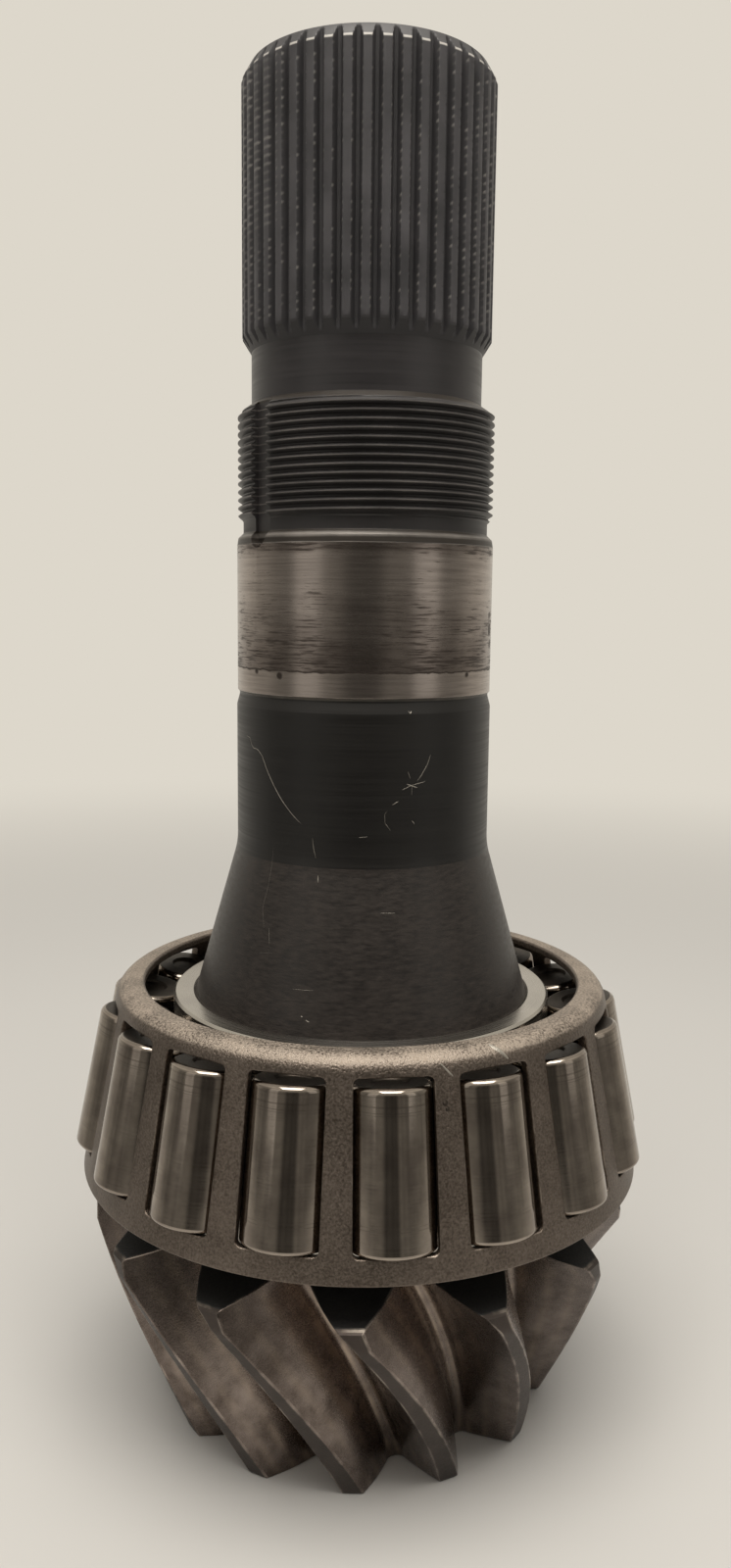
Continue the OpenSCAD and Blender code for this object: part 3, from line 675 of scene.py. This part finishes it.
# %% Spline piece
SCRAPE_LOW, SCRAPE_TURN, SCRAPE_SPREAD = 299, math.radians(64), 0.93
luck = np.repeat(np.random.default_rng(7).random((len(spline_z), SPLINES)) ** 1.5, len(spline_deg), 1)
nicked = np.isin(spline_z, nick_z)
on_crest = round_r > SPLINE_R - 0.1
nick = nicked[:, None] * np.isin(np.tile(np.abs(spline_deg), SPLINES), [1.82, 2.0]) * luck
left_side = np.cos(round_a + np.pi / 2 + SCRAPE_TURN) > SCRAPE_SPREAD
scrape = (nicked & (spline_z > SCRAPE_LOW))[:, None] * (left_side & on_crest) * (0.3 + 0.7 * luck)
side_r = np.minimum(round_r, np.minimum(run_out, bevel)[:, None]) - NICK_DEPTH * nick
foot_points = lathe(np.array([[0, SPLINE_LOW]]), round_a)
end = np.vstack([[[28.9, SPLINE_HIGH]], CENTRE_HOLE[::-1] * [1, -1] + [0, SPLINE_HIGH]])
spline_points = np.concatenate([foot_points, polar(side_r, round_a, spline_z[:, None]), lathe(end, round_a)])
dash = (np.abs(spline_z - DASH_Z + 0.1) < 0.25)[:, None] * on_crest
foot_row, end_rows = np.zeros((1, len(round_a))), np.zeros((len(end), len(round_a)))
worn = np.vstack([foot_row, 0.6 * (on_crest & (side_r > SPLINE_R - 0.3)), end_rows])
bright = np.vstack([foot_row, np.maximum(0.8 * dash, np.maximum(0.4 * nick, 0.3 * scrape)), end_rows])
make_piece("drive_spline", spline_points, grid_quads(*spline_points.shape[:2]), [spline_steel],
           "pinion", "pinion_shaft", marks={"worn": worn, "bright": bright})

# %% [markdown]
# ## The bearing's inner ring
#
# A hardened ring, ground all over and pressed on the shaft. Only its upper face and the small rib show over
# the cage. Grinding gives the eye a bright satin with faint lines round it, drawn 0.4 mm apart so that they
# show. The ring could be cut from a cylinder, but a closed profile carried round the axis is less work.

# %% Ring finish and piece
ring_steel = turned_steel("ground_bearing_steel", "#b0aba4", "#c0bbb3", "#bdb8ae", roughness=0.26,
                          line_mm=0.4, bump=0.06, streak=0.4, metallic=1.0)
APEX_Z, TILT = 445.765, math.radians(9.89227)
LARGE_END, SMALL_END = 379.291, 342.791
LARGE_R, SMALL_R = 10.5434, 9.5287
CLEAR, RIB_H = 0.3, 3.6
RING_FOOT, RING_TOP, RING_BORE, RIB_R = 62.833, 112.033, 44, 49.8


def on_roller(along, out):
    """Radius and height of a point in a roller's plane: a distance from the apex along the roller's axis,
    then a distance out from that axis."""
    return np.array([along * math.sin(TILT) + out * math.cos(TILT),
                     APEX_Z - along * math.cos(TILT) + out * math.sin(TILT)])


race_large = on_roller(LARGE_END + CLEAR, -LARGE_R - CLEAR)
rib_top = race_large + RIB_H * np.array([math.cos(TILT), math.sin(TILT)])
ring_profile = rounded([
    (RING_BORE, RING_FOOT, 0), (rib_top[0] - 0.6, RING_FOOT, 0.2), (rib_top[0], RING_FOOT + 0.6, 0.2),
    (*rib_top, 0.3), (*race_large, 0), (RIB_R - 0.6, 106.433, 0), (RIB_R, 106.733, 0.15),
    (RIB_R, RING_TOP - 0.6, 0.15), (RIB_R - 0.6, RING_TOP, 0.15), (RING_BORE + 0.6, RING_TOP, 0.15),
    (RING_BORE, RING_TOP - 0.6, 0.1)], 3)
ring_turns = np.linspace(0, 2 * np.pi, 180, endpoint=False)
ring_worn = np.repeat(0.6 * (ring_profile[:, 1] > 111.2) * (ring_profile[:, 0] > 49), len(ring_turns))
ring_quads = grid_quads(len(ring_profile), len(ring_turns), True)
make_piece("inner_ring", lathe(ring_profile, ring_turns), ring_quads, [ring_steel], "pinion",
           "bearing_inner_ring", marks={"worn": ring_worn})

# %% [markdown]
# ## The rollers
#
# Seventeen tapered rollers, ground and polished until they mirror the room, with a rounded edge at both
# ends and a small hollow in each end face. Each is one profile carried round its own leaning axis, and it
# rides on its own body, so it can roll. Rings scored round them are finer than a pixel, so they are drawn
# about half a millimetre wide.

# %% Roller finish
RING_MM = 0.45
roller_steel, add, shader, place = start_finish("polished_roller_steel", {"Metallic": 1.0})
along = add("Attribute", out="Fac", attribute_name="along")
rings = add("TexNoise", {"W": along, "Scale": 1 / RING_MM, "Detail": 2.0}, noise_dimensions="1D")
stain = add("TexNoise", {"Vector": place, "Scale": PER_MM / 7, "Detail": 5.0, "Roughness": 0.6})
spread = add("MapRange", (stain, 0.38, 0.62))
faint = add("MapRange", (along, 24.0, 36.0, 0.66, 0.5))
clear = add("Math", (faint, 0.1), "ADD")
scored = add("MapRange", (rings, faint, clear, 0.0, 0.4))
tone = add("Mix", {0: spread, 6: linear("#938980"), 7: linear("#a99f94")}, **COLOUR)
colour = add("Mix", {0: scored, 6: tone, 7: linear("#6b625a")}, **COLOUR)
wire(shader, colour, add("MapRange", (rings, 0.3, 0.7, 0.1, 0.17)))
# Roller end faces: oily and darker, and painted darker still as shade, so that the ends seen inside the cage
# read dark. The same dark steel paints the real oil stains on the cage.
oil_and_shade_dark_steel = stained_steel("oil_and_painted_shade_dark_steel", "#38332e", "#4b453f", "#6e665d", roughness=0.42,
                          cloud_mm=4, grain_mm=0.4, bump=0.2)
print("finishes of the rollers:", roller_steel.name, oil_and_shade_dark_steel.name)

# %% Roller pieces
ROLLERS, ROLLER_L = 17, LARGE_END - SMALL_END
HOLLOW_R, HOLLOW, END_FACE_R = 4.5, 0.6, 8.6
roller_a = np.radians(6.8 - 90 + np.arange(1, ROLLERS + 1) * 360 / ROLLERS)
roller_profile = rounded([
    (0, HOLLOW, 0), (HOLLOW_R - HOLLOW, HOLLOW, 0), (HOLLOW_R, 0, 0.15), (LARGE_R, 0, 1.0),
    (SMALL_R, ROLLER_L, 1.5), (HOLLOW_R, ROLLER_L, 0.15), (HOLLOW_R - HOLLOW, ROLLER_L - HOLLOW, 0),
    (0, ROLLER_L - HOLLOW, 0)])
roller_turns = np.linspace(0, 2 * np.pi, 72, endpoint=False)
roller_along = np.repeat(roller_profile[:, 1], len(roller_turns))
band_r = (roller_profile[1:, 0] + roller_profile[:-1, 0]) / 2
roller_zone = np.repeat(band_r < END_FACE_R, len(roller_turns))
roller_quads = grid_quads(len(roller_profile), len(roller_turns))
base_r, base_z = on_roller(LARGE_END, 0)
lean = np.array([[math.cos(TILT), 0, math.sin(TILT)], [0, 1, 0], [-math.sin(TILT), 0, math.cos(TILT)]])
leaning = lathe(roller_profile, roller_turns) @ lean + [base_r, 0, base_z]
for number, turn in enumerate(roller_a, 1):
    spin = np.array([[math.cos(turn), math.sin(turn), 0], [-math.sin(turn), math.cos(turn), 0], [0, 0, 1]])
    name = f"roller_{number:02d}"
    make_piece("tapered_" + name, leaning @ spin, roller_quads, [roller_steel, oil_and_shade_dark_steel], name, name,
               roller_zone, {"along": roller_along})

# %% [markdown]
# ## The cage
#
# Pressed from one sheet of steel: a cone with a window for each roller, and a flange turned in at the top.
# It was blasted with fine beads, so it is matt and grainy; its crown is painted paler, a painted highlight
# of the light from above. The sheet is cut into seventeen equal cells. In each cell a ring of points runs
# from the cell's border in to the window, round the window's broken edge through the sheet, and out again
# on the inner face. Crown and rim are strips that share the border points.

# %% Cage finish
# The pale tone bares the window edges where they are worn and paints the crown's highlight.
cage_steel = stained_steel("bead_blasted_pressed_steel", "#5e554d", "#897e75", "#cbbfb2", roughness=0.4,
                           cloud_mm=10, grain_mm=0.55, bump=1.0, speckle=0.7, lap=0.45)
print("finish of the cage:", cage_steel.name)

# %% Window cells
ENVELOPE = math.radians(11.48454)
SHEET, CAGE_DROP = 2.4, 3.2
CELL = np.pi / ROLLERS
WINDOW_TOP, WINDOW_FOOT, WINDOW_ROUND = SMALL_END - 1.8, LARGE_END + CLEAR, 1.3
SIDE_POINTS, CORNER_POINTS = 10, 4
A_SIDE = CORNER_POINTS + SIDE_POINTS


def cage_radius(z, depth=0):
    """Radius of the sheet at a height, a depth under its outer face."""
    return (APEX_Z - z) * math.tan(ENVELOPE) - CAGE_DROP - depth / math.cos(ENVELOPE)


def window_outline(grow):
    """Rounded trapezium as distance across and distance from the apex, counter-clockwise from outside, grown
    by a distance: four straight sides joined by quarter turns."""
    wall = CAGE_DROP * math.cos(ENVELOPE) + SHEET
    roller_r = np.array([LARGE_R, SMALL_R])
    wide, narrow = np.sqrt(roller_r ** 2 - (roller_r - wall) ** 2) + CLEAR + grow
    foot, top, r = WINDOW_FOOT + grow, WINDOW_TOP - grow, WINDOW_ROUND + grow
    centres = np.array([[r - wide, foot - r], [wide - r, foot - r],
                        [narrow - r, top + r], [r - narrow, top + r]])
    start = np.radians([180, 270, 0, 90])
    turn = np.linspace(0, np.pi / 2, CORNER_POINTS + 1)
    arcs = [c + r * np.stack([np.cos(a + turn), -np.sin(a + turn)], -1) for c, a in zip(centres, start)]
    share = np.linspace(0, 1, SIDE_POINTS + 1)[1:-1, None]
    sides = [arcs[i][-1] * (1 - share) + arcs[(i + 1) % 4][0] * share for i in range(4)]
    return np.vstack([np.vstack([arcs[i], sides[i]]) for i in range(4)])


def on_sheet(outline, depth):
    """Angle and height where the window's wall, square to the roller's axis plane, meets the sheet at a
    depth: the distance out from the axis is corrected until the radius fits."""
    across, along = outline.T
    out = np.full(len(outline), 7.0)
    for _ in range(25):
        r, z = on_roller(along, out)
        out = out + cage_radius(z, depth) - np.hypot(r, across)
    return np.arctan2(across, r), z


AROUND = 4 * A_SIDE
border_share = np.arange(A_SIDE) / A_SIDE


def border(low, high):
    """Angle and height round a cell's border, with as many points a side as the window has."""
    side, t = np.arange(AROUND) // A_SIDE, np.tile(border_share, 4)
    angle = CELL * np.choose(side, [2 * t - 1, 1 + 0 * t, 1 - 2 * t, -1 + 0 * t])
    height = np.choose(side, [low + 0 * t, low + (high - low) * t, high + 0 * t, high + (low - high) * t])
    back = CORNER_POINTS // 2
    return np.roll(angle, back), np.roll(height, back)


OUT_LOW, OUT_HIGH, IN_LOW, IN_HIGH = 71.6, 111.45, 71.2, 111.0
window_edge = ((0.42, 0), (0.3, 0.02), (0.12, 0.12), (0.02, 0.3), (0, 0.45), (0, SHEET - 0.2), (0.2, SHEET))
cell_rows = [(*border(OUT_LOW, OUT_HIGH), 0)]
cell_rows += [(*on_sheet(window_outline(grow), depth), depth) for grow, depth in window_edge]
cell_rows += [(*border(IN_LOW, IN_HIGH), SHEET)]
cell_a = np.array([row[0] for row in cell_rows])
cell_z = np.array([row[1] for row in cell_rows])
cell_r = cage_radius(cell_z, np.array([row[2] for row in cell_rows])[:, None])
print("points of a window cell:", cell_a.size)

# %% Cage piece
TOP_Z, FOOT_Z, LIP_R, CROWN_HIGHLIGHT_Z = 115.53, 67.08, 57.15, 113.4
RIM_STEPS = 8
strip_a = (roller_a[:, None] + CELL * (2 * border_share - 1)).ravel()
crown = rounded([(cage_radius(OUT_HIGH), OUT_HIGH, 0), (cage_radius(TOP_Z), TOP_Z, 4.5), (LIP_R, TOP_Z, 0.8),
                 (LIP_R, TOP_Z - SHEET, 0.6), (cage_radius(TOP_Z - SHEET, SHEET), TOP_Z - SHEET, 2.0),
                 (cage_radius(IN_HIGH, SHEET), IN_HIGH, 0)], RIM_STEPS)
rim = rounded([(cage_radius(IN_LOW, SHEET), IN_LOW, 0), (cage_radius(FOOT_Z, SHEET), FOOT_Z, 0.3),
               (cage_radius(FOOT_Z), FOOT_Z, 0.4), (cage_radius(OUT_LOW), OUT_LOW, 0)], 4)
cell_quads = grid_quads(len(cell_rows), AROUND)
cage_points, cage_quads = join([(polar(cell_r, cell_a + turn, cell_z), cell_quads) for turn in roller_a]
                               + [(lathe(strip, strip_a), grid_quads(len(strip), len(strip_a)))
                                  for strip in (crown, rim)])
cell_worn = np.zeros((ROLLERS, len(cell_rows), AROUND))
cell_worn[:, 2:5] = 0.7
# The top of the crown is painted paler: a painted highlight of the light from above.
crown_highlight = np.repeat(0.9 * ((crown[:, 1] > CROWN_HIGHLIGHT_Z) & (crown[:, 0] > LIP_R + 0.5)), len(strip_a))
no_rim = np.zeros(len(rim) * len(strip_a))
make_piece("window_cage", cage_points, cage_quads, [cage_steel], "cage", "bearing_cage",
           marks={"worn": np.r_[cell_worn.ravel(), 0 * crown_highlight, no_rim],
                  "polish_and_highlight": np.r_[0 * cell_worn.ravel(), crown_highlight, no_rim]})

# %% [markdown]
# ## Scratches and stains
#
# Handling left thin bright scratches in the black skin and a few on the cage's rim, and oil left two dark
# stains on a bar of the cage. A scratch shows because its ridges catch the light, so each is a hair-thin
# closed sliver of bare steel laid along its line, and a stain is a short wide one of dark steel. Painting
# them into the finish would need a distance to every line, which is slow to shade.

# %% Slivers
SLIVER_LIFT, SLIVER_RISE = 0.02, 0.4
bare_steel = stained_steel("bare_scratched_steel", "#a7a29a", "#c4beb4", "#c4beb4", roughness=0.4,
                           cloud_mm=2, grain_mm=0.3, bump=0.1)


def sliver(line, radius, width, points=28):
    """Closed sliver along a line of (degrees off the front, height): the line is sampled evenly along its
    length, four corners stand round each sample, across by the width and out by a fifth of it, and both ends
    run out to a point. radius gives the surface under a height."""
    turn, z = np.array(line, float).T
    flat = np.radians(turn) * radius(z)
    length = np.r_[0, np.cumsum(np.hypot(np.diff(flat), np.diff(z)))]
    at = np.linspace(0, length[-1], points)
    u, v = np.interp(at, length, flat), np.interp(at, length, z)
    du, dv = np.gradient(u), np.gradient(v)
    step = np.hypot(du, dv)
    half = width / 2 * np.sin(np.pi * np.linspace(0, 1, points)) ** 0.4
    half[[0, -1]] = 0
    across = half[:, None] * np.array([-1, 0, 1, 0])
    out = SLIVER_LIFT + SLIVER_RISE * half[:, None] * np.array([0, 1, 0, -1])
    u = u[:, None] - across * (dv / step)[:, None]
    v = v[:, None] + across * (du / step)[:, None]
    return polar(radius(v) + out, u / radius(z).mean() - np.pi / 2, v)


def shaft_radius(z):
    """Radius of the black cone and plain length at a height."""
    return np.interp(z, low[:, 1], low[:, 0])


def crown_radius(z):
    """Radius of the cage's outer face at a height, up to the top of its rounded rim: the first points of the
    crown are its border, a guard and the rim's arc."""
    side = crown[:RIM_STEPS + 3]
    return np.where(z < OUT_HIGH, cage_radius(z), np.interp(z, side[:, 1], side[:, 0]))


print("a sliver stands", SLIVER_LIFT, "mm off its surface")

# %% Scratch and stain pieces
# Each line: its points as degrees off the front and height, then its width in millimetres.
shaft_lines = [
    ([(-63, 180.4), (-59.1, 180.1), (-56.3, 177.7), (-52.2, 177.6), (-48.9, 176.2), (-45.5, 172.8),
      (-41.6, 169.6), (-37.3, 166.4), (-33.3, 164), (-29.9, 162.2), (-26.5, 160.7)], 0.17),
    ([(-21.3, 157.6), (-20.8, 155.2), (-19.6, 152.6)], 0.15),
    ([(-18.3, 148.6), (-17.8, 147)], 0.25),
    ([(29.7, 177.8), (28.2, 175.4), (25.4, 172.9), (23.3, 171.4)], 0.18),
    ([(19.2, 173.9), (20.3, 172.1)], 0.12),
    ([(21.1, 170.6), (16.6, 169.5)], 0.1),
    ([(21.1, 170.6), (27.2, 171.3)], 0.1),
    ([(21.1, 170.6), (21, 168.2)], 0.1),
    ([(18.7, 170.9), (23.6, 169.9)], 0.2),
    ([(15.1, 166.8), (12.6, 166)], 0.15),
    ([(10.4, 164.6), (9.4, 163.7), (9.6, 161.6), (12.1, 159.7)], 0.07),
    ([(21.4, 162), (22.5, 161.2)], 0.15),
    ([(-1.3, 158.2), (2.3, 158.4)], 0.1),
    ([(-44.8, 154.2), (-42.1, 144.9), (-40.8, 139.2), (-37.1, 134.9)], 0.03),
    ([(7.1, 140.5), (13.2, 140.4)], 0.05),
    ([(-37.4, 135.1), (-34.7, 131.2)], 0.06),
    ([(-39.1, 129), (-33.2, 129.7)], 0.03),
    ([(-23.4, 122.3), (-15.7, 122.5)], 0.05),
    ([(-19.4, 116.5), (-18.6, 116.4)], 0.15),
    ([(-17.5, 115.7), (-16.4, 115.4)], 0.15),
    ([(19.1, 188.2), (19.8, 187.7), (20.5, 188.2)], 0.25),
]
cage_lines = [
    ([(28.7, 115.3), (29.5, 114.2), (30.6, 112.2)], 0.8),
    ([(16.2, 113.4), (17.5, 111.7), (18.5, 110.4)], 0.4),
]
cage_stains = [([(16.2, 105.1), (17.1, 104.8)], 1.3), ([(16.7, 103.8), (17.4, 103.5)], 1.1)]
for name, lines, radius, finish, body, slot in (
    ("shaft_scratches", shaft_lines, shaft_radius, bare_steel, "pinion", "pinion_steel"),
    ("cage_scratches", cage_lines, crown_radius, bare_steel, "cage", "cage_steel"),
    ("cage_stains", cage_stains, crown_radius, oil_and_shade_dark_steel, "cage", "cage_steel"),
):
    slivers = [sliver(line, radius, width) for line, width in lines]
    points, quads = join([(points, grid_quads(len(points), 4)) for points in slivers])
    make_piece(name, points, quads, [finish], body, None)

# %% [markdown]
# ## Floor, light and camera
#
# A pale floor that fades into a pale background, soft light from both sides and from above, and less of it
# from behind the camera, so that round steel shows a dark middle between two light bands. The camera has
# the place and lens that a fit to the object's edges gave, in a frame of 746 by 1600.

# %% Light of the room
PALE = linear("#ddd7cb")


def room_light(add, way):
    """Strength of the room's light from a direction: full from above and from behind the object, about a
    third from the sides and the front, least straight behind the camera, and uneven round about, as walls
    are. The camera sees full strength."""
    x, y, z = [add("SeparateXYZ", (way,), out=axis) for axis in "XYZ"]
    level = add("CombineXYZ", (x, y))
    round_way = add("VectorMath", (level,), "NORMALIZE")
    ahead = add("SeparateXYZ", (round_way,), out="Y")
    gap = add("MapRange", (ahead, -0.975, -0.945, 0.35, 1.0))
    side = add("MapRange", (ahead, -0.3, 1.0, 0.27, 1.0), interpolation_type="SMOOTHSTEP")
    bands = add("TexNoise", {"Vector": round_way, "Scale": 6.0, "Detail": 2.0})
    banded = add("MapRange", (bands, 0.35, 0.65, 0.78, 1.17))
    front = add("Math", (gap, side), "MULTIPLY")
    uneven = add("Math", (front, banded), "MULTIPLY")
    high = add("MapRange", (z, 0.3, 0.75))
    light = add("Mix", {0: high, 2: uneven, 3: 1.0})
    return add("Mix", {0: add("LightPath", out="Is Camera Ray"), 2: light, 3: 1.0})


print("pale tone of floor and background, linear:", np.round(PALE[:3], 3).tolist())

# %% Floor
FLOOR_HALF, FLOOR_Z = 4.0, -0.00005
FADE_FROM, FADE_TO = 0.35, 1.2
floor_mesh = bpy.data.meshes.new("floor")
corner = FLOOR_HALF * np.array([[-1, -1], [1, -1], [1, 1], [-1, 1]])
floor_mesh.from_pydata(np.c_[corner, np.full(4, FLOOR_Z)].tolist(), [], [[0, 1, 2, 3]])
floor = bpy.data.objects.new("floor", floor_mesh)
bpy.context.scene.collection.objects.link(floor)
floor_paint, add, shader, place = start_finish(
    "pale_matt_floor", {"Roughness": 0.6, "Base Color": linear("#d4d2ce")})
far = add("VectorMath", (place,), "LENGTH", "Value")
seen = add("MapRange", (far, FADE_FROM, FADE_TO), interpolation_type="SMOOTHSTEP")
felt = add("MapRange", (far, 0.12, 0.5))
fade = add("Mix", {0: add("LightPath", out="Is Camera Ray"), 2: felt, 3: seen})
glow = add("Emission", {"Color": PALE, "Strength": room_light(add, place)})
shown = add("MixShader", (fade, shader.outputs[0], glow))
floor_tree = floor_paint.node_tree
floor_tree.links.new(shown, floor_tree.nodes["Material Output"].inputs[0])
floor_mesh.materials.append(floor_paint)
print("floor fades from", FADE_FROM, "m to", FADE_TO, "m")

# %% World
world = bpy.data.worlds.new("studio")
bpy.context.scene.world = world
world.use_nodes = True
tree = world.node_tree
add = partial(add_node, tree)
room = tree.nodes["Background"]
camera_ray, glossy, through = [add("LightPath", out=f"Is {ray} Ray")
                               for ray in ("Camera", "Glossy", "Transmission")]
mirrored = add("Math", (glossy, through), "MAXIMUM")
shown = add("Math", (camera_ray, mirrored), "MAXIMUM")
tone = add("Mix", {0: shown, 6: linear("#bdbab5"), 7: PALE}, **COLOUR)
tree.links.new(tone, room.inputs["Color"])
tree.links.new(room_light(add, add("TexCoord", out="Generated")), room.inputs["Strength"])
print("world:", world.name)

# %% Lamps
# Each lamp: name, place and aim in metres, width and height, and power in watts.
for name, place, aim, size, power in (
    ("left_panel", (-0.9, -0.75, 0.5), (0, 0, 0.17), (0.55, 1.1), 0.7),
    ("right_panel", (0.95, -0.65, 0.5), (0, 0, 0.17), (0.5, 1.0), 0.65),
    ("overhead", (0.0, -0.3, 1.1), (0, 0, 0.1), (0.8, 0.6), 10.0),
):
    lamp = bpy.data.lights.new(name, "AREA")
    lamp.shape = "RECTANGLE"
    lamp.size, lamp.size_y = size
    lamp.energy = power
    lamp.color = linear("#fffaf2")[:3]
    stand = bpy.data.objects.new(name, lamp)
    bpy.context.scene.collection.objects.link(stand)
    stand.location = place
    ray = np.subtract(aim, place)
    turn = math.atan2(ray[1], ray[0]) - math.pi / 2
    stand.rotation_euler = (math.acos(-ray[2] / np.linalg.norm(ray)), 0, turn)
    print("lamp", name, "at", place)

# %% Camera
PITCH_DOWN, ROLL = math.radians(8.43), math.radians(0.5785)
CAMERA_MM = (0.708, -322.98, 214.10)
FOCAL_PX, FRAME_PX, SENSOR = 1267.97, 1600, 36
lens = bpy.data.cameras.new("camera")
lens.sensor_width = SENSOR
lens.lens = SENSOR * FOCAL_PX / FRAME_PX
lens.clip_start = 0.01
camera = bpy.data.objects.new("camera", lens)
bpy.context.scene.collection.objects.link(camera)
tip = Matrix.Rotation(math.pi / 2 - PITCH_DOWN, 4, "X")
camera.matrix_world = Matrix.Translation([n * MM for n in CAMERA_MM]) @ tip @ Matrix.Rotation(ROLL, 4, "Z")
bpy.context.scene.camera = camera
bpy.context.scene.view_settings.view_transform = "Standard"
print("camera at", CAMERA_MM, "mm, lens", round(lens.lens, 2), "mm")
